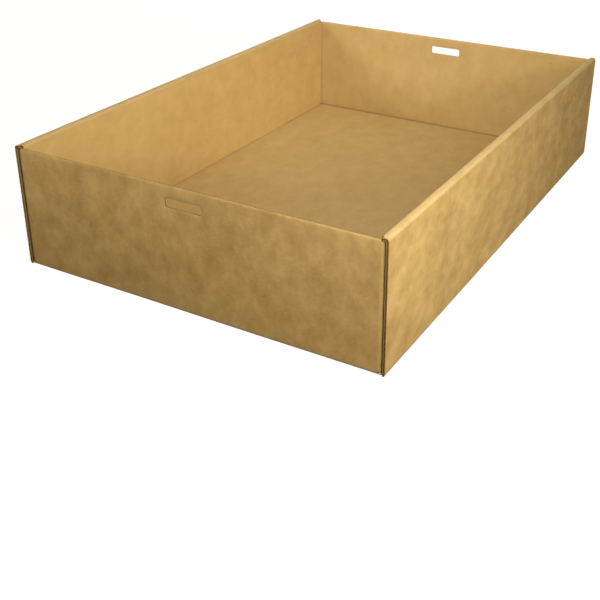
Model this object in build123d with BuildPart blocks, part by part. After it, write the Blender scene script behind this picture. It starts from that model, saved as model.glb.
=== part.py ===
"""Cardboard tray box: one die-cut sheet of corrugated board, folded up with no glue.

The long side walls roll over at the rim and come down again as an inner panel, whose tabs lock
into slots in the floor. The end walls are a single board with a lid slot near the rim. A flap at
each end of an end wall turns the corner and is trapped inside the rolled side wall.

Frame: millimetres, +Z up, Y along the tray, origin on the ground under the middle of the floor.
"""

import os

from build123d import *

# Outside of the folded tray
length = 360.0  # over the two end walls, along Y
width = 250.0  # over the two side walls, along X
height = 80.0  # from the ground to the rim

# The board and how it folds
board = 1.5  # thickness of the board
crease_radius = 0.4  # inside radius of a fold
layer_gap = 0.5  # air between two boards that lie side by side
corner_slit = 0.25  # cut at the floor's corners, between an end wall's fold and a side wall's

# Lid slot in each end wall
slot_length = 27.0
slot_height = 8.0
slot_corner = 2.0  # radius of the slot's corners
slot_drop = 8.0  # from the rim down to the slot

# Flaps that turn the corners, inside the side walls
flap_reach = 68.0  # from the outside of the end wall to the flap's free end
flap_headroom = 1.0  # air between the flap and the underside of the rim
flap_footroom = 0.6  # air between the flap and the fold at the floor
flap_taper = 4.0  # how much each long edge of the flap closes in towards its free end
flap_corner = 6.0  # radius of the flap's two free corners
flap_crease = 1.0  # inside radius of the looser fold from an end wall to its flap

# Inner panel of the rolled side wall
panel_setback = 0.75  # air between the panel's end and the inside of the end wall
panel_taper = 1.0  # extra air there at the foot of the panel
panel_corner = 2.5  # corner cut off at each end of the panel's foot

# Tabs at the foot of the inner panel, and their slots in the floor
tab_length = 42.0
tab_spacing = 190.0  # between the middles of the two tabs of one wall
tab_corner = 0.8  # radius of the tab's corners
tab_clearance = 0.12  # air around the tab in its slot
tab_ground_gap = 0.3  # from the tab's tip to the ground

# Worked out from the sizes above
fold = crease_radius + board  # outside radius of a fold
fold_middle = crease_radius + board / 2  # radius of a fold at half the board's thickness
flap_fold = flap_crease + board  # outside radius of a flap's fold
flap_fold_middle = flap_crease + board / 2
pocket = board + 2 * layer_gap  # space for a flap inside the rolled side wall
side_x = width / 2  # outside of a side wall
inner_x = side_x - board - pocket  # pocket side of the inner panel
flap_x = side_x - board - layer_gap  # outside of a corner flap
end_y = length / 2  # outside of an end wall
end_half = flap_x - flap_fold  # half the flat width of an end wall, up to its flap's fold
fold_half = side_x - fold - corner_slit  # half the length of an end wall's fold at the floor
roll_half = end_y - board - panel_setback  # half the length of the inner panel at the rim
panel_foot = board + layer_gap  # height of the inner panel's lower edge
flap_top = height - board - flap_headroom
flap_bottom = fold + flap_footroom


# Side wall on +X: the fold at the floor, the outer panel, the rim and the inner panel
with BuildPart() as side_wall:
    with BuildSketch(Plane.XZ):
        with BuildLine():
            floor_fold = JernArc((side_x - fold, board / 2), (1, 0), fold_middle, 90)
            outer_panel = Line(floor_fold @ 1, (side_x - board / 2, height - fold))
            outer_fold = JernArc(outer_panel @ 1, (0, 1), fold_middle, 90)
            rim = Line(outer_fold @ 1, (inner_x - board + fold, height - board / 2))
        trace(line_width=board)
    extrude(amount=end_y, both=True)

    # The fold into the inner panel stops short of the end walls, as the panel does
    with BuildSketch(Plane.XZ):
        with BuildLine():
            JernArc(rim @ 1, (-1, 0), fold_middle, 90)
        trace(line_width=board)
    extrude(amount=roll_half, both=True)

    with BuildSketch(Plane.YZ.offset(inner_x - board)) as inner_panel:
        with BuildLine():
            foot_half = roll_half - panel_taper
            Polyline(
                (-roll_half, height - fold),
                (-foot_half, panel_foot + panel_corner),
                (-foot_half + panel_corner, panel_foot),
                (foot_half - panel_corner, panel_foot),
                (foot_half, panel_foot + panel_corner),
                (roll_half, height - fold),
                close=True,
            )
        make_face()
    extrude(amount=board)

    with BuildSketch(Plane.YZ.offset(inner_x - board)) as tabs:
        tab_drop = panel_foot - tab_ground_gap
        with GridLocations(tab_spacing, 0, 2, 1):
            with Locations((0, panel_foot - tab_drop / 2)):
                Rectangle(tab_length, tab_drop)
        fillet(tabs.vertices().group_by(Axis.Y)[0], tab_corner)
    extrude(amount=board)


# End wall on -Y: the fold at the floor, the wall with its lid slot, and its two corner flaps
with BuildPart() as end_wall:
    with BuildSketch(Plane.YZ):
        with BuildLine():
            JernArc((fold - end_y, board / 2), (-1, 0), fold_middle, -90)
        trace(line_width=board)
    extrude(amount=fold_half, both=True)

    with BuildSketch(Plane.XZ.offset(end_y)) as wall:
        with Locations((0, (fold + height) / 2)):
            Rectangle(2 * end_half, height - fold)
        fillet(wall.vertices().group_by(Axis.Y)[-1], height - flap_top)
        with Locations((0, height - slot_drop - slot_height / 2)):
            RectangleRounded(slot_length, slot_height, slot_corner, mode=Mode.SUBTRACT)
    extrude(amount=-board)

    with BuildSketch(Plane.XY.offset(flap_bottom)):
        with BuildLine():
            JernArc((end_half, board / 2 - end_y), (1, 0), flap_fold_middle, 90)
        trace(line_width=board)
        mirror(about=Plane.YZ)
    extrude(amount=flap_top - flap_bottom)

    for side_plane in (Plane.YZ.offset(flap_x - board), Plane.YZ.offset(-flap_x)):
        with BuildSketch(side_plane) as flap:
            with BuildLine():
                Polyline(
                    (flap_fold - end_y, flap_bottom),
                    (flap_reach - end_y, flap_bottom + flap_taper),
                    (flap_reach - end_y, flap_top - flap_taper),
                    (flap_fold - end_y, flap_top),
                    close=True,
                )
            make_face()
            fillet(flap.vertices().group_by(Axis.X)[-1], flap_corner)
        extrude(amount=board)


# The whole sheet: the floor with its tab slots, and the four walls
with BuildPart() as tray:
    with BuildSketch():
        Rectangle(width - 2 * fold, length - 2 * fold)
        with GridLocations(2 * inner_x - board, tab_spacing, 2, 2):
            Rectangle(board + 2 * tab_clearance, tab_length + 2 * tab_clearance, mode=Mode.SUBTRACT)
    extrude(amount=board)
    add(side_wall.part)
    mirror(side_wall.part, about=Plane.YZ)
    add(end_wall.part)
    mirror(end_wall.part, about=Plane.XZ)

tray.part.label = "tray"
os.makedirs("parts", exist_ok=True)
export_step(tray.part, "parts/tray.step")
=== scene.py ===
"""Cardboard tray box, dressed: one blank of corrugated kraft board, die-cut flat, then folded up.

The blank is laid out flat as a die maker would draw it, with u across the tray and v along it.
Two liner papers and the fluted paper between them are cut from that drawing, and one function
folds all three into the tray. Lengths are in millimetres until a mesh is made, and in metres for
the floor and the lamps.
"""

import math

import bpy
import numpy as np
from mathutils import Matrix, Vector, geometry, noise


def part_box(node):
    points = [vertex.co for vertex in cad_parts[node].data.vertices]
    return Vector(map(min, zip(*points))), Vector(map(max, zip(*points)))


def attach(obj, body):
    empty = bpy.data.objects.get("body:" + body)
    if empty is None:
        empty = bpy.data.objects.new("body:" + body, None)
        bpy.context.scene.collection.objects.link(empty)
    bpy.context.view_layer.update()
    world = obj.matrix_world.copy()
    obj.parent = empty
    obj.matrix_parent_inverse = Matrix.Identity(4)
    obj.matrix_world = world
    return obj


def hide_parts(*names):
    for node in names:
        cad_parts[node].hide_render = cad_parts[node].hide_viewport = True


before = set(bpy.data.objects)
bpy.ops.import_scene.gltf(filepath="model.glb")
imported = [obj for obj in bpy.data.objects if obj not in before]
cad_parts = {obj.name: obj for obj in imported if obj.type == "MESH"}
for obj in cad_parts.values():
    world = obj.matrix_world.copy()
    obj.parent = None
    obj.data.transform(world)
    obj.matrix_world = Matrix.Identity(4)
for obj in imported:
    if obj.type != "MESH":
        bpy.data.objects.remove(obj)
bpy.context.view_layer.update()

MM = 0.001  # metres in a millimetre
TIDY = 1e-6  # tolerance of the flat drawing, in millimetres
TO_HULL = 0  # kind of triangulation that fills its points' hull

# Outside of the tray, from the frame
tray_low, tray_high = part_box("tray")
width, length, height = ((tray_high - tray_low) / MM)[:]

# The board and how it folds
board = 1.5  # thickness of the board
liner = 0.26  # thickness of a liner paper
flute_paper = 0.16  # thickness of the fluted paper
flute_pitch = 3.3  # from crest to crest
crease_radius = 0.4  # inside radius of a fold
crease_margin = 0.6  # how far a crease marks the paper beside a fold
layer_gap = 0.5  # air between two boards that lie side by side
corner_slit = 0.25  # cut at the floor's corners, between two folds
rim_crush = 0.65  # share of its thickness that an end wall's board loses at its rim
slot_crush = 0.3  # and at the edge of its lid slot
crush_reach = 0.8  # how far the crushing fades into the board
swell = 0.25  # how far a panel strays from flat
swell_size = 85.0  # how far apart the swellings lie

# Lid slot in each end wall
slot_length = 25.0
slot_height = 6.0
slot_corner = 1.5  # radius of the slot's corners
slot_drop = 7.5  # from the rim down to the slot

# Flaps that turn the corners, inside the side walls
flap_reach = 68.0  # from the outside of the end wall to the flap's free end
flap_headroom = 1.0  # air between the flap and the underside of the rim
flap_footroom = 0.6  # air between the flap and the fold at the floor
flap_taper = 4.0  # how much each long edge closes in towards the free end
flap_corner = 6.0  # radius of the two free corners
flap_crease = 1.0  # inside radius of the looser fold to a flap

# Inner panel of the rolled side wall, with its lock tabs
panel_setback = 0.75  # air between the panel's end and the end wall
panel_taper = 1.0  # extra air there at the panel's foot
panel_corner = 2.5  # corner cut off at each end of the foot
tab_length = 42.0
tab_spacing = 190.0  # between the middles of the two tabs of one wall
tab_corner = 0.8  # radius of a tab's corners
tab_clearance = 0.12  # air round a tab in its slot
tab_ground_gap = 0.3  # from a tab's tip to the ground

# How finely the drawing is divided
cell = 9.0
fold_steps = 6  # facets round a quarter fold
corner_steps = 5  # facets round a cut corner
flute_steps = 8  # facets in one flute
flute_reach = 26.0  # depth of the fluted band at an end wall's rim, half of it at a side wall's end
crush_shares = (0.5, 1.0, 2.0, 3.5)  # rows beside a crushed edge, in shares of its reach
smooth_angle = 35.0  # degrees, past which an edge stays sharp

# Patterns of the papers: their sizes, and how much each counts
cloud_size = 45.0  # broad paler and darker areas
cloud_share = 0.2
clump_size = 12.0  # patches where the fibres clump
clump_share = 0.65
clump_stretch = (1, 0.72, 1)  # clumps are a little longer along the tray
fibre_size = 0.9  # drawn coarse, because single fibres are too fine to show
fibre_share = 0.15
fibre_stretch = (0.3, 1, 1)  # fibres and shives lie across the tray
fibre_tooth = 0.03  # depth of the tooth that the fibres give a liner
washboard = 0.006  # how far the flutes press through a liner
middle_tone = 0.5  # of the patterns together
full_stray = 0.2  # stray from it that gives the darkest or the palest shade
calm_inside = 0.4  # how patchy the rolled-in panel is, next to the handled outside
shive_spacing = 4.5
shive_core = 0.04  # size of a shive's darkest part, in shares of the spacing
shive_edge = 0.1  # and of the whole shive
shive_mark = 0.3  # how much a shive darkens the paper
fold_marked_half = 0.3  # tone of the clumps where a fold's mark is half as strong as it can be
fold_marked_full = 0.7  # and where it is at full strength
flap_turn_mark = 0.7  # how much painted shade darkens a flap's fold on its way into the pocket
fluting_fibre_size = 2.0
paper_ior = 1.47  # cellulose

# Shades of the papers, apart from each liner's own
shive_shade = "#7C5C30"
# painted shade where a flap's fold turns into the pocket
flap_turn_painted_shade = "#6E5226"
# painted shade for the dim inside of a side wall's pocket
pocket_painted_shade = "#3E2D18"
cut_shade = "#A8874E"
# darker than the liners: partly the paper's own colour, partly painted shade for the flute hollows
fluting_dark = "#75582F"
fluting_pale = "#927040"

# Worked out from the sizes above
fold = crease_radius + board  # outside radius of a fold
fold_middle = crease_radius + board / 2  # radius of a fold at half the board's thickness
quarter = math.pi / 2 * fold_middle  # length of board in a fold
flap_fold = flap_crease + board
flap_fold_middle = flap_crease + board / 2
flap_quarter = math.pi / 2 * flap_fold_middle
pocket = board + 2 * layer_gap  # space for a flap inside the rolled side wall
floor_u = width / 2 - fold  # where the floor ends and a side wall's fold starts
floor_v = length / 2 - fold  # the same at an end wall
end_half = width / 2 - board - layer_gap - flap_fold  # half an end wall, up to its flap's fold
fold_half = floor_u - corner_slit  # half the length of an end wall's fold at the floor
roll_half = length / 2 - board - panel_setback  # half the inner panel's length at the rim
foot_half = roll_half - panel_taper  # and at its foot
panel_foot = board + layer_gap  # height of the inner panel's lower edge
end_height = height - board  # an end wall stops level with the underside of the rolled rim
flap_top = end_height - flap_headroom
flap_bottom = fold + flap_footroom

# Runs of flat board after each fold, on the way out from the floor, round a flap, and up an end
side_runs = (height - 2 * fold, pocket - 2 * crease_radius, height - fold - tab_ground_gap)
flap_runs = (flap_reach - flap_fold,)
end_runs = (height - fold,)

# Places on the flat drawing
outer_top_u = floor_u + quarter + side_runs[0]
rim_end_u = outer_top_u + quarter + side_runs[1]
inner_top_u = rim_end_u + quarter
foot_u = inner_top_u + height - fold - panel_foot
tab_u = inner_top_u + side_runs[2]
flap_u = end_half + flap_quarter
flap_end_u = flap_u + flap_runs[0]
lock_u = width / 2 - board - pocket - board / 2
side_folds_u = (floor_u, outer_top_u, rim_end_u)  # where the three folds of a side wall start


def end_v(z):
    """Place on the drawing of a height on the end wall."""
    return floor_v + quarter + z - fold


rim_v = end_v(end_height)
slot_v = rim_v - slot_drop - slot_height / 2
flap_v = end_v(flap_bottom)
beside_flap_v = (length / 2 + flap_v) / 2  # in the gap between a side wall and a flap


def uncrushed(u, v):
    """Share of its thickness that an end wall's board keeps, by its rim and round its lid slot."""
    past_u = max(u - slot_length / 2, 0)
    past_v = max(abs(v - slot_v) - slot_height / 2, 0)
    at_rim = rim_crush * math.exp((v - rim_v) / crush_reach)
    at_slot = slot_crush * math.exp(-Vector((past_u, past_v)).length / crush_reach)
    return 1 - max(at_rim, at_slot)


def walk(distance, radius, runs):
    """Follow the board's middle from its first fold: how far across, how high, which way."""
    across, up, heading = 0.0, 0.0, 0.0
    for run in runs:
        turn = min(distance / radius, math.pi / 2)
        across += radius * (math.sin(heading + turn) - math.sin(heading))
        up += radius * (math.cos(heading) - math.cos(heading + turn))
        heading += turn
        distance -= radius * math.pi / 2
        if distance <= 0:
            break
        step = min(distance, run)
        across += step * math.cos(heading)
        up += step * math.sin(heading)
        distance -= step
        if distance <= 0:
            break
    return across, up, heading


def fold_up(u, v, depth):
    """Place in the folded tray of a point on the drawing, at a depth from the board's middle."""
    side, end = math.copysign(1, u), math.copysign(1, v)
    depth += swell / 2 * (1 + noise.noise((u / swell_size, v / swell_size, 0.0)))
    u, v = abs(u), abs(v)

    # Floor
    if u <= floor_u + TIDY and v <= floor_v + TIDY:
        return Vector((side * u, end * v, board / 2 + depth))

    # Rolled side wall
    if u >= floor_u - TIDY and v <= beside_flap_v:
        across, up, heading = walk(u - floor_u, fold_middle, side_runs)
        x = floor_u + across - depth * math.sin(heading)
        return Vector((side * x, end * v, board / 2 + up + depth * math.cos(heading)))

    # End wall
    across, up, heading = walk(v - floor_v, fold_middle, end_runs)
    depth *= uncrushed(u, v)
    if u <= end_half + TIDY or v <= floor_v + quarter + TIDY:
        y = floor_v + across - depth * math.sin(heading)
        return Vector((side * u, end * y, board / 2 + up + depth * math.cos(heading)))

    # Corner flap
    over, inward, turned = walk(u - end_half, flap_fold_middle, flap_runs)
    x = end_half + over - depth * math.sin(turned)
    y = length / 2 - board / 2 - inward - depth * math.cos(turned)
    return Vector((side * x, end * y, board / 2 + up))


def rounded(before, corner, after, radius):
    """Points of the arc that rounds one corner of an outline."""
    before, corner, after = Vector(before), Vector(corner), Vector(after)
    back, ahead = (before - corner).normalized(), (after - corner).normalized()
    half = back.angle(ahead) / 2
    centre = corner + (back + ahead).normalized() * radius / math.sin(half)
    start = corner + back * radius / math.tan(half) - centre
    stop = corner + ahead * radius / math.tan(half) - centre
    points = []
    for step in range(corner_steps + 1):
        points.append((centre + radius * start.slerp(stop, step / corner_steps))[:])
    return points


def quarter_outline():
    """Cut edge of the drawing where u and v are positive, from an inner panel's foot to a rim."""
    tab_near = (tab_spacing - tab_length) / 2
    tab_far = (tab_spacing + tab_length) / 2
    points = [(foot_u, tab_near)]
    points += rounded((foot_u, tab_near), (tab_u, tab_near), (tab_u, tab_far), tab_corner)
    points += rounded((tab_u, tab_near), (tab_u, tab_far), (foot_u, tab_far), tab_corner)
    points += [
        (foot_u, tab_far),
        (foot_u, foot_half - panel_corner),
        (foot_u - panel_corner, foot_half),
        (inner_top_u, roll_half),
        (rim_end_u, roll_half),
        (rim_end_u, length / 2),
        (floor_u, length / 2),
        (floor_u, floor_v),
        (fold_half, floor_v),
        (fold_half, floor_v + quarter),
        (end_half, floor_v + quarter),
        (end_half, flap_v),
        (flap_u, flap_v),
    ]
    low_corner = (flap_end_u, end_v(flap_bottom + flap_taper))
    high_corner = (flap_end_u, end_v(flap_top - flap_taper))
    flap_start = (flap_u, end_v(flap_top))
    points += rounded(points[-1], low_corner, high_corner, flap_corner)
    points += rounded(low_corner, high_corner, flap_start, flap_corner)
    points.append(flap_start)
    rim = (end_half, rim_v)
    points += rounded((end_half, end_v(flap_top)), rim, (0, rim_v), end_height - flap_top)
    return points


def oblong(centre_u, centre_v, size_u, size_v, radius):
    """Outline of a slot with rounded corners."""
    corners = []
    for along_u, along_v in ((1, -1), (1, 1), (-1, 1), (-1, -1)):
        corners.append((centre_u + along_u * size_u / 2, centre_v + along_v * size_v / 2))
    points = []
    for place, corner in enumerate(corners):
        points += rounded(corners[place - 1], corner, corners[(place + 1) % 4], radius)
    return points


def cut_edges():
    """Every cut edge of the blank: its outline, the lid slots and the slots for the lock tabs."""
    far_right = quarter_outline()
    far_left = [(-u, v) for u, v in reversed(far_right)]
    near_left = [(-u, -v) for u, v in far_right]
    near_right = [(u, -v) for u, v in reversed(far_right)]
    loops = [far_right + far_left + near_left + near_right]
    lock = (board + 2 * tab_clearance, tab_length + 2 * tab_clearance)
    for end in (-1, 1):
        loops.append(oblong(0, end * slot_v, slot_length, slot_height, slot_corner))
        for side in (-1, 1):
            loops.append(oblong(side * lock_u, end * tab_spacing / 2, *lock, tab_clearance))
    return loops


def inside(places, loops):
    """Which of the places lie on the board, by the even and odd rule."""
    within = np.zeros(len(places), bool)
    u, v = places[:, 0], places[:, 1]
    for loop in loops:
        for (u0, v0), (u1, v1) in zip(loop, loop[1:] + loop[:1]):
            if v0 != v1:
                crosses = (v0 > v) != (v1 > v)
                within ^= crosses & (u < u0 + (v - v0) / (v1 - v0) * (u1 - u0))
    return within


def triangulate(loops, lines, dots):
    """Triangles of the flat board between its cut edges, with every line kept as an edge."""
    points, edges = [], []
    for loop in loops:
        first = len(points)
        points += loop
        edges += [(first + step, first + (step + 1) % len(loop)) for step in range(len(loop))]
    for line in lines:
        edges.append((len(points), len(points) + 1))
        points += line
    points = [Vector(point) for point in points + dots]
    places, _, faces, *_ = geometry.delaunay_2d_cdt(points, edges, [], TO_HULL, TIDY)
    corners = np.array([place[:] for place in places])
    triangles = np.array(faces)
    return corners, triangles[inside(corners[triangles].mean(axis=1), loops)]


def spread(start, stop, size):
    """Evenly spaced places from start to stop, about one size apart."""
    return list(np.linspace(start, stop, max(1, round((stop - start) / size)) + 1))


def fold_places(start, bend):
    """Places across one fold, a little wider than the fold itself."""
    stop = start + bend
    before = [start - 2 * crease_margin, start - crease_margin]
    after = [stop + crease_margin, stop + 2 * crease_margin]
    return before + spread(start, stop, bend / fold_steps) + after


def crush_rows():
    """Rows of the drawing just below an end wall's rim, where the cut has crushed the board."""
    return [rim_v - crush_reach * share for share in crush_shares]


def slot_rings(end):
    """Lines of the drawing round an end wall's lid slot, where the cut has crushed the board."""
    lines = []
    for share in crush_shares:
        reach = crush_reach * share
        size = (slot_length + 2 * reach, slot_height + 2 * reach)
        ring = oblong(0, end * slot_v, *size, slot_corner + reach)
        lines += [[start, stop] for start, stop in zip(ring, ring[1:] + ring[:1])]
    return lines


def liner_drawing():
    """The flat board, divided finely at the folds and evenly elsewhere."""
    side_folds = []
    for start in side_folds_u:
        side_folds += fold_places(start, quarter)
    end_folds = fold_places(floor_v, quarter)
    flap_folds = fold_places(end_half, flap_quarter)
    side_columns = side_folds + spread(floor_u + quarter, outer_top_u, cell)
    side_columns += spread(inner_top_u, foot_u, cell) + [tab_u]
    end_rows = end_folds + spread(floor_v + quarter, rim_v, cell) + crush_rows()
    flap_columns = flap_folds + spread(flap_u, flap_end_u, cell)
    lines, dots = [], []
    for sign in (-1, 1):
        for u in side_folds:
            lines.append([(sign * u, -length / 2), (sign * u, length / 2)])
        for v in end_folds:
            lines.append([(-fold_half, sign * v), (fold_half, sign * v)])
        for end in (-1, 1):
            for u in flap_folds:
                lines.append([(sign * u, end * flap_v), (sign * u, end * rim_v)])
    for end in (-1, 1):
        lines += slot_rings(end)
    for v in spread(-length / 2, length / 2, cell):
        dots += [(u, v) for u in spread(-floor_u, floor_u, cell)]
        dots += [(side * u, v) for u in side_columns for side in (-1, 1)]
    for v in end_rows:
        for end in (-1, 1):
            dots += [(u, end * v) for u in spread(-end_half, end_half, cell)]
            dots += [(side * u, end * v) for u in flap_columns for side in (-1, 1)]
    return triangulate(cut_edges(), lines, dots)


def flute_drawing():
    """The flat board in a band along its cut edges, in columns fine enough to be fluted."""
    step = flute_pitch / flute_steps
    columns = round(foot_u / step)
    end_band = rim_v - flute_reach
    side_band = length / 2 - flute_reach / 2
    slot_rows = spread(slot_v - slot_height / 2, slot_v + slot_height / 2, slot_corner)
    lines = []
    for end in (-1, 1):
        lines += slot_rings(end)
        for v in crush_rows() + slot_rows + [end_band]:
            lines.append([(-flap_end_u, end * v), (flap_end_u, end * v)])
        for side in (-1, 1):
            lines.append([(side * floor_u, end * side_band), (side * foot_u, end * side_band)])
        for u in np.arange(-columns, columns + 1) * step:
            if abs(u) < flap_end_u:
                lines.append([(u, end * end_band), (u, end * rim_v)])
            if abs(u) > floor_u:
                lines.append([(u, end * side_band), (u, end * length / 2)])
    corners, triangles = triangulate(cut_edges(), lines, [])
    u, v = np.abs(corners[triangles].mean(axis=1)).T
    at_end = v > end_band
    at_side = (v > side_band) & (v < length / 2) & (u > floor_u)
    return corners, triangles[at_end | at_side]


def on_fold(flat):
    """Which places on the drawing a crease marks: 1 in a fold and close beside it, 0 elsewhere."""
    u, v = np.abs(flat).T
    reach = crease_margin + TIDY
    marked = (u <= fold_half) & (v >= floor_v - reach) & (v <= floor_v + quarter + reach)
    for start in side_folds_u:
        marked |= (v <= length / 2) & (u >= start - reach) & (u <= start + quarter + reach)
    return marked.astype(float)


def round_flap_fold(flat):
    """How far round its fold a place on a corner flap lies: 0 on the end wall, 1 in the pocket."""
    u, v = np.abs(flat).T
    return np.clip((u - end_half) / flap_quarter, 0, 1) * (v >= flap_v)


def in_pocket(flat):
    """Which places on the drawing lie on the outer board of a rolled side wall, up to its rim."""
    u, v = np.abs(flat).T
    return ((v <= length / 2) & (u >= floor_u + quarter) & (u <= outer_top_u)).astype(float)


def folded_sheet(name, drawing, low, high):
    """A sheet of paper between two depths in the board, cut from the drawing and folded up."""
    corners, triangles = drawing
    used, order = np.unique(triangles, return_inverse=True)
    flat = corners[used]
    count = len(flat)
    lower = order.reshape(-1, 3)
    sides = {tuple(pair) for face in lower for pair in zip(face, np.roll(face, -1))}
    rim = [(a, b, b + count, a + count) for a, b in sides if (b, a) not in sides]
    faces = (lower + count).tolist() + lower[:, ::-1].tolist() + sorted(rim)
    places = [fold_up(u, v, depth) * MM for depth in (low, high) for u, v in flat]
    mesh = bpy.data.meshes.new(name)
    mesh.from_pydata(places, [], faces)

    # The flat drawing stays with the sheet, for its patterns
    blank = mesh.uv_layers.new(name="blank")
    at = [corner.vertex_index % count for corner in mesh.loops]
    blank.data.foreach_set("uv", (flat[at] * MM).ravel())
    marks = {
        "across": flat[:, 0] * MM,
        "crease": on_fold(flat),
        "pocket": in_pocket(flat),
        "flap_turn": round_flap_fold(flat),
    }
    for mark, values in marks.items():
        noted = mesh.attributes.new(mark, "FLOAT", "POINT")
        noted.data.foreach_set("value", np.tile(values, 2))

    # Which way is into the tray, shorter where the board is crushed
    facing = mesh.attributes.new("facing", "FLOAT_VECTOR", "POINT")
    inward = [(fold_up(u, v, 1.0) - fold_up(u, v, 0.0))[:] for u, v in flat]
    facing.data.foreach_set("vector", np.tile(np.array(inward), (2, 1)).ravel())

    # Faces of the cut edge
    cut = mesh.attributes.new("cut", "FLOAT", "FACE")
    cut.data.foreach_set("value", [0.0] * (2 * len(triangles)) + [1.0] * len(rim))
    return mesh


def linear(code):
    """Linear colour of an sRGB hex code."""
    parts = [int(code[place : place + 2], 16) / 255 for place in (1, 3, 5)]
    return [p / 12.92 if p <= 0.04045 else ((p + 0.055) / 1.055) ** 2.4 for p in parts] + [1]


def add(tree, kind, inputs=(), **settings):
    """Add a node, set it, and give its inputs a value, a link or another node's first output."""
    node = tree.nodes.new(kind)
    for name, value in settings.items():
        setattr(node, name, value)
    for name, value in dict(inputs).items():
        if isinstance(value, bpy.types.Node):
            value = next(socket for socket in value.outputs if socket.enabled)
        if isinstance(value, bpy.types.NodeSocket):
            tree.links.new(value, node.inputs[name])
        else:
            node.inputs[name].default_value = value
    return node


def per_mm(size):
    """Texture scale of a pattern of the given size in millimetres."""
    return 1 / (size * MM)


def material(name):
    """A new material, with no nodes in it yet."""
    made = bpy.data.materials.new(name)
    made.use_nodes = True
    made.node_tree.nodes.clear()
    return made, made.node_tree


def liner_paper(name, dark, pale, fold_shade, fold_mark, pocket_mark):
    """Kraft liner: unbleached paper of long fibres, pressed smooth and left uncoated.

    To the eye it is matt and brown, patchy where the fibres clump, with a few dark shives.
    """
    made, tree = material(name)
    flat = add(tree, "ShaderNodeUVMap", uv_map="blank")
    streaks = add(tree, "ShaderNodeMapping", {"Vector": flat, "Scale": fibre_stretch})
    grain = add(tree, "ShaderNodeMapping", {"Vector": flat, "Scale": clump_stretch})
    cloud = add(
        tree,
        "ShaderNodeTexNoise",
        {"Vector": flat, "Scale": per_mm(cloud_size), "Detail": 2},
    )
    clumps = add(
        tree,
        "ShaderNodeTexNoise",
        {"Vector": grain, "Scale": per_mm(clump_size), "Detail": 5, "Roughness": 0.66},
    )
    fibres = add(
        tree,
        "ShaderNodeTexNoise",
        {"Vector": streaks, "Scale": per_mm(fibre_size), "Detail": 2},
    )
    tone = 0.0
    for pattern, share in ((cloud, cloud_share), (clumps, clump_share), (fibres, fibre_share)):
        tone = add(
            tree, "ShaderNodeMath", {0: pattern, 1: share, 2: tone}, operation="MULTIPLY_ADD"
        )

    # The tone strays less from the middle on the panel that is rolled in
    across = add(tree, "ShaderNodeSeparateXYZ", {0: flat})
    from_middle = add(tree, "ShaderNodeMath", {0: across}, operation="ABSOLUTE")
    patchy = add(
        tree,
        "ShaderNodeMapRange",
        {
            "Value": from_middle,
            "From Min": outer_top_u * MM,
            "From Max": rim_end_u * MM,
            "To Min": 1.0,
            "To Max": calm_inside,
        },
    )
    stray = add(tree, "ShaderNodeMath", {0: tone, 1: middle_tone}, operation="SUBTRACT")
    stray = add(tree, "ShaderNodeMath", {0: stray, 1: patchy}, operation="MULTIPLY")
    shade = add(
        tree,
        "ShaderNodeMapRange",
        {"Value": stray, "From Min": -full_stray, "From Max": full_stray},
    )
    colour = add(
        tree,
        "ShaderNodeMix",
        {"Factor": shade, "A": linear(dark), "B": linear(pale)},
        data_type="RGBA",
    )

    # Shives: short dark splinters, a few in each square centimetre
    splinters = add(
        tree,
        "ShaderNodeTexVoronoi",
        {"Vector": streaks, "Scale": per_mm(shive_spacing), "Randomness": 1.0},
    )
    shives = add(
        tree,
        "ShaderNodeMapRange",
        {
            "Value": splinters,
            "From Min": shive_core,
            "From Max": shive_edge,
            "To Min": shive_mark,
            "To Max": 0.0,
        },
    )

    # Folds are marked unevenly: worn on the outside, and pressed and darkened by painted shade
    # inside.
    # Painted shade darkens the paper where a flap's fold turns into a pocket and where it lies in
    # one, and a cut edge is bare
    fold_wear_and_shade = add(
        tree,
        "ShaderNodeMapRange",
        {
            "Value": clumps,
            "From Min": fold_marked_half,
            "From Max": fold_marked_full,
            "To Min": fold_mark / 2,
            "To Max": fold_mark,
        },
    )
    marks = (
        ("crease", fold_wear_and_shade, fold_shade),
        ("flap_turn", flap_turn_mark, flap_turn_painted_shade),
        ("pocket", pocket_mark, pocket_painted_shade),
        ("cut", 1.0, cut_shade),
    )
    layers = [(shives, shive_shade)]
    for mark, strength, over in marks:
        where = add(tree, "ShaderNodeAttribute", attribute_name=mark).outputs["Fac"]
        cover = add(tree, "ShaderNodeMath", {0: where, 1: strength}, operation="MULTIPLY")
        layers.append((cover, over))
    for cover, over in layers:
        colour = add(
            tree,
            "ShaderNodeMix",
            {"Factor": cover, "A": colour, "B": linear(over)},
            data_type="RGBA",
        )

    # The flutes show through as a faint washboard, under the tooth of the fibres
    turns = add(
        tree, "ShaderNodeMath", {0: across, 1: math.tau * per_mm(flute_pitch)}, operation="MULTIPLY"
    )
    ribs = add(tree, "ShaderNodeMath", {0: turns}, operation="SINE")
    tooth = add(tree, "ShaderNodeMath", {0: fibres, 1: fibre_tooth}, operation="MULTIPLY")
    relief = add(
        tree, "ShaderNodeMath", {0: ribs, 1: washboard, 2: tooth}, operation="MULTIPLY_ADD"
    )
    bump = add(tree, "ShaderNodeBump", {"Height": relief, "Strength": 1.0, "Distance": MM})
    paper = add(
        tree,
        "ShaderNodeBsdfPrincipled",
        {
            "Base Color": colour,
            "Roughness": 0.85,
            "IOR": paper_ior,
            "Specular IOR Level": 0.3,
            "Normal": bump,
        },
    )
    add(tree, "ShaderNodeOutputMaterial", {"Surface": paper})
    return made


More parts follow.
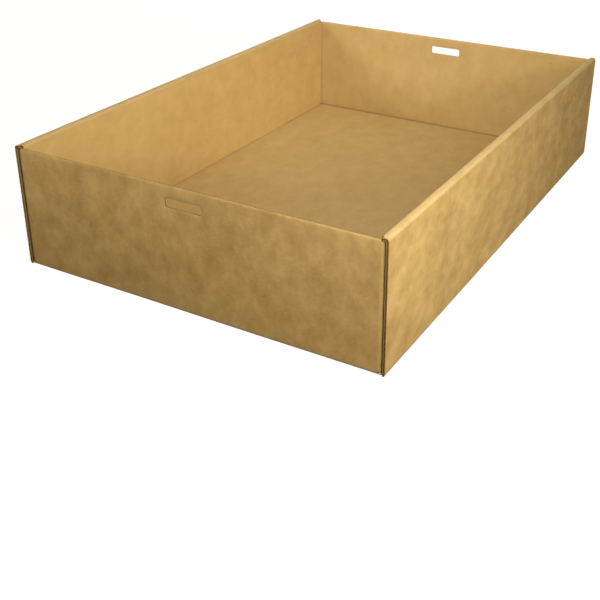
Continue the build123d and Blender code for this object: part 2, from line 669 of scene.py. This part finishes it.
def fluting_paper():
    """Semi-chemical fluting paper, pressed hot between rolls.

    To the eye it is duller than the liners and speckled by its short fibres. It is darker than
    them, partly by its own colour and partly by painted shade for the hollows between the flutes.
    """
    made, tree = material("fluting_paper")
    flat = add(tree, "ShaderNodeUVMap", uv_map="blank")
    fibres = add(
        tree,
        "ShaderNodeTexNoise",
        {"Vector": flat, "Scale": per_mm(fluting_fibre_size), "Detail": 3},
    )
    tone = add(
        tree,
        "ShaderNodeMix",
        {"Factor": fibres, "A": linear(fluting_dark), "B": linear(fluting_pale)},
        data_type="RGBA",
    )
    paper = add(
        tree,
        "ShaderNodeBsdfPrincipled",
        {"Base Color": tone, "Roughness": 0.95, "IOR": paper_ior, "Specular IOR Level": 0.2},
    )
    add(tree, "ShaderNodeOutputMaterial", {"Surface": paper})
    return made


def flute_tree(finish):
    """Nodes that press a flat sheet into flutes across its flat width."""
    tree = bpy.data.node_groups.new("press_flutes", "GeometryNodeTree")
    sockets = {
        "Sheet": "NodeSocketGeometry",
        "Pitch": "NodeSocketFloat",
        "Height": "NodeSocketFloat",
    }
    for name, kind in sockets.items():
        tree.interface.new_socket(name, in_out="INPUT", socket_type=kind)
    tree.interface.new_socket("Fluted", in_out="OUTPUT", socket_type="NodeSocketGeometry")
    given = add(tree, "NodeGroupInput").outputs
    across = add(tree, "GeometryNodeInputNamedAttribute", {"Name": "across"}, data_type="FLOAT")
    turns = add(tree, "ShaderNodeMath", {0: across, 1: given["Pitch"]}, operation="DIVIDE")
    angle = add(tree, "ShaderNodeMath", {0: turns, 1: math.tau}, operation="MULTIPLY")
    wave = add(tree, "ShaderNodeMath", {0: angle}, operation="SINE")
    half = add(tree, "ShaderNodeMath", {0: given["Height"], 1: 0.5}, operation="MULTIPLY")
    rise = add(tree, "ShaderNodeMath", {0: wave, 1: half}, operation="MULTIPLY")
    facing = add(
        tree, "GeometryNodeInputNamedAttribute", {"Name": "facing"}, data_type="FLOAT_VECTOR"
    )
    move = add(tree, "ShaderNodeVectorMath", {0: facing, "Scale": rise}, operation="SCALE")
    fluted = add(tree, "GeometryNodeSetPosition", {"Geometry": given["Sheet"], "Offset": move})
    real = add(tree, "GeometryNodeRealizeInstances", {"Geometry": fluted})
    done = add(tree, "GeometryNodeSetMaterial", {"Geometry": real, "Material": finish})
    add(tree, "NodeGroupOutput", {"Fluted": done})
    return tree


def press_flutes(piece, finish):
    """Press the sheet into flutes that just fill the board between its liners."""
    pressed = piece.modifiers.new("flutes", "NODES")
    pressed.node_group = flute_tree(finish)
    sizes = {"Pitch": flute_pitch * MM, "Height": (board - 2 * liner - flute_paper) * MM}
    for socket in pressed.node_group.interface.items_tree:
        if socket.name in sizes:
            pressed[socket.identifier] = sizes[socket.name]
    depsgraph = bpy.context.evaluated_depsgraph_get()
    piece.data = bpy.data.meshes.new_from_object(piece.evaluated_get(depsgraph))
    piece.modifiers.clear()


def finish_piece(sheet, finish, press=None):
    """Make a folded sheet one plain piece of the tray, in its own paper."""
    piece = bpy.data.objects.new(sheet.name, sheet)
    bpy.context.scene.collection.objects.link(piece)
    if press:
        press(piece, finish)
    piece.data.materials.clear()
    piece.data.materials.append(finish)
    piece.data.shade_smooth()
    piece.data.set_sharp_from_angle(angle=math.radians(smooth_angle))
    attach(piece, "root")
    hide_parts("tray")


fluting = fluting_paper()
outer_paper = liner_paper(
    "kraft_outer_liner",
    dark="#A07E43",
    pale="#D1AE6C",
    fold_shade="#A8976A",
    fold_mark=0.4,
    pocket_mark=0.0,
)
inner_paper = liner_paper(
    "kraft_inner_liner",
    dark="#AB8B52",
    pale="#BC9E64",
    # the inside creases are pressed, and darkened further with painted shade
    fold_shade="#8A6A38",
    fold_mark=0.8,
    # painted shade inside the side walls' pocket
    pocket_mark=0.5,
)

board_drawing = liner_drawing()
outer_liner = folded_sheet("tray_outer_liner", board_drawing, -board / 2, liner - board / 2)
inner_liner = folded_sheet("tray_inner_liner", board_drawing, board / 2 - liner, board / 2)
medium = folded_sheet("tray_flutes", flute_drawing(), -flute_paper / 2, flute_paper / 2)
finish_piece(outer_liner, outer_paper)
finish_piece(inner_liner, inner_paper)
finish_piece(medium, fluting, press_flutes)


# Studio round the tray
floor_size = 12.0
floor_drop = 0.05 * MM  # how far the floor lies under the tray, so that they share no plane
floor_glow = 0.97  # white to the camera, with a little left for the shadow
floor_shade = "#625644"  # of the light that the floor throws back
room_fill = 0.15  # light of the room on the tray
room_tint = "#FFE2B4"
bulb_radius = 0.12  # of a spot lamp


def seen_rays(tree):
    """1 for the rays by which the studio is seen, and 0 for those by which it lights the tray."""
    rays = add(tree, "ShaderNodeLightPath").outputs
    seen = rays["Is Camera Ray"]
    for kind in ("Is Glossy Ray", "Is Transmission Ray"):
        seen = add(tree, "ShaderNodeMath", {0: seen, 1: rays[kind]}, operation="MAXIMUM")
    return seen


def white_floor():
    """Matt white floor that looks white to the camera and still takes the tray's shadow."""
    made, tree = material("studio_white")
    seen = seen_rays(tree)
    glow = add(tree, "ShaderNodeMath", {0: seen, 1: floor_glow}, operation="MULTIPLY")
    white = add(tree, "ShaderNodeEmission", {"Strength": glow})
    matt = add(tree, "ShaderNodeBsdfDiffuse", {"Color": linear(floor_shade)})
    both = add(tree, "ShaderNodeAddShader", {0: white, 1: matt})
    add(tree, "ShaderNodeOutputMaterial", {"Surface": both})
    return made


def white_room():
    """A white room to the camera, and an even fill for the tray."""
    world = bpy.data.worlds.new("white_room")
    bpy.context.scene.world = world
    world.use_nodes = True
    tree = world.node_tree
    tree.nodes.clear()
    seen = seen_rays(tree)
    level = add(tree, "ShaderNodeMapRange", {"Value": seen, "To Min": room_fill, "To Max": 1.0})
    shade = add(
        tree,
        "ShaderNodeMix",
        {"Factor": seen, "A": linear(room_tint), "B": linear("#FFFFFF")},
        data_type="RGBA",
    )
    sky = add(tree, "ShaderNodeBackground", {"Color": shade, "Strength": level})
    add(tree, "ShaderNodeOutputWorld", {"Surface": sky})


def place_light(name, lamp, place, aim):
    """Stand a lamp at a place, turned to what it lights and out of the camera's sight."""
    light = bpy.data.objects.new(name, lamp)
    bpy.context.scene.collection.objects.link(light)
    light.location = place
    light.rotation_euler = (Vector(aim) - Vector(place)).to_track_quat("-Z", "Y").to_euler()
    light.visible_camera = False


def soft_box(name, place, aim, size, power):
    """A square lamp that gives a broad, even light."""
    lamp = bpy.data.lights.new(name, "AREA")
    lamp.shape = "SQUARE"
    lamp.size = size
    lamp.energy = power
    place_light(name, lamp, place, aim)


def soft_spot(name, place, aim, cone, power):
    """A spot lamp whose beam fades out all the way to its edge."""
    lamp = bpy.data.lights.new(name, "SPOT")
    lamp.spot_size = math.radians(cone)
    lamp.spot_blend = 1.0
    lamp.shadow_soft_size = bulb_radius
    lamp.energy = power
    place_light(name, lamp, place, aim)


floor_mesh = bpy.data.meshes.new("studio_floor")
half = floor_size / 2
floor_mesh.from_pydata(
    [(x, y, -floor_drop) for x, y in ((-half, -half), (half, -half), (half, half), (-half, half))],
    [],
    [(0, 1, 2, 3)],
)
floor_mesh.materials.append(white_floor())
studio_floor = bpy.data.objects.new("studio_floor", floor_mesh)
bpy.context.scene.collection.objects.link(studio_floor)

# Room and lamps, in metres, degrees and watts
white_room()
soft_spot("key_light", (0.664, -0.664, 0.342), aim=(-0.1, 0.08, 0.06), cone=22, power=28.8)
soft_spot("front_light", (-0.397, -0.852, 0.342), aim=(-0.02, 0.18, 0.08), cone=22, power=19.8)
soft_spot("top_light", (-0.06, 0.1, 0.6), aim=(-0.06, 0.11, 0.0), cone=20, power=9.9)
soft_spot("wall_light", (0.25, -0.05, 0.35), aim=(-0.12, -0.18, 0.07), cone=24, power=4.7)
soft_box("corner_light", (0.3, -0.26, 0.42), aim=(0.15, -0.05, 0.03), size=0.15, power=2.25)
soft_box("side_light", (0.588, -0.339, 0.424), aim=(0.0, 0.0, 0.03), size=0.4, power=1.7)
soft_box("near_light", (0.03, -0.5, 0.2), aim=(0.03, -0.18, 0.06), size=0.2, power=0.075)
soft_box("back_light", (-0.46, 1.27, 0.36), aim=(0.0, 0.0, 0.03), size=0.7, power=8.0)

# Camera, from a fit of the tray's corners, in millimetres and pixels
picture_side = 600
view_azimuth = math.radians(30.09)
view_elevation = math.radians(24.44)
view_distance = 694.4
view_target = Vector((-14.9, -5.1, 0.0))
focal_pixels = 959.0
centre_pixel = (320.0, 200.0)

camera_data = bpy.data.cameras.new("camera")
camera = bpy.data.objects.new("camera", camera_data)
bpy.context.scene.collection.objects.link(camera)
bpy.context.scene.camera = camera
back = Vector(
    (
        math.sin(view_azimuth) * math.cos(view_elevation),
        -math.cos(view_azimuth) * math.cos(view_elevation),
        math.sin(view_elevation),
    )
)
camera.location = (view_target + back * view_distance) * MM
camera.rotation_euler = (-back).to_track_quat("-Z", "Y").to_euler()
camera_data.sensor_width = 36.0
camera_data.lens = focal_pixels / picture_side * camera_data.sensor_width
camera_data.shift_x = (picture_side / 2 - centre_pixel[0]) / picture_side
camera_data.shift_y = (centre_pixel[1] - picture_side / 2) / picture_side
camera_data.clip_start = 0.01

bpy.context.scene.view_settings.view_transform = "Standard"
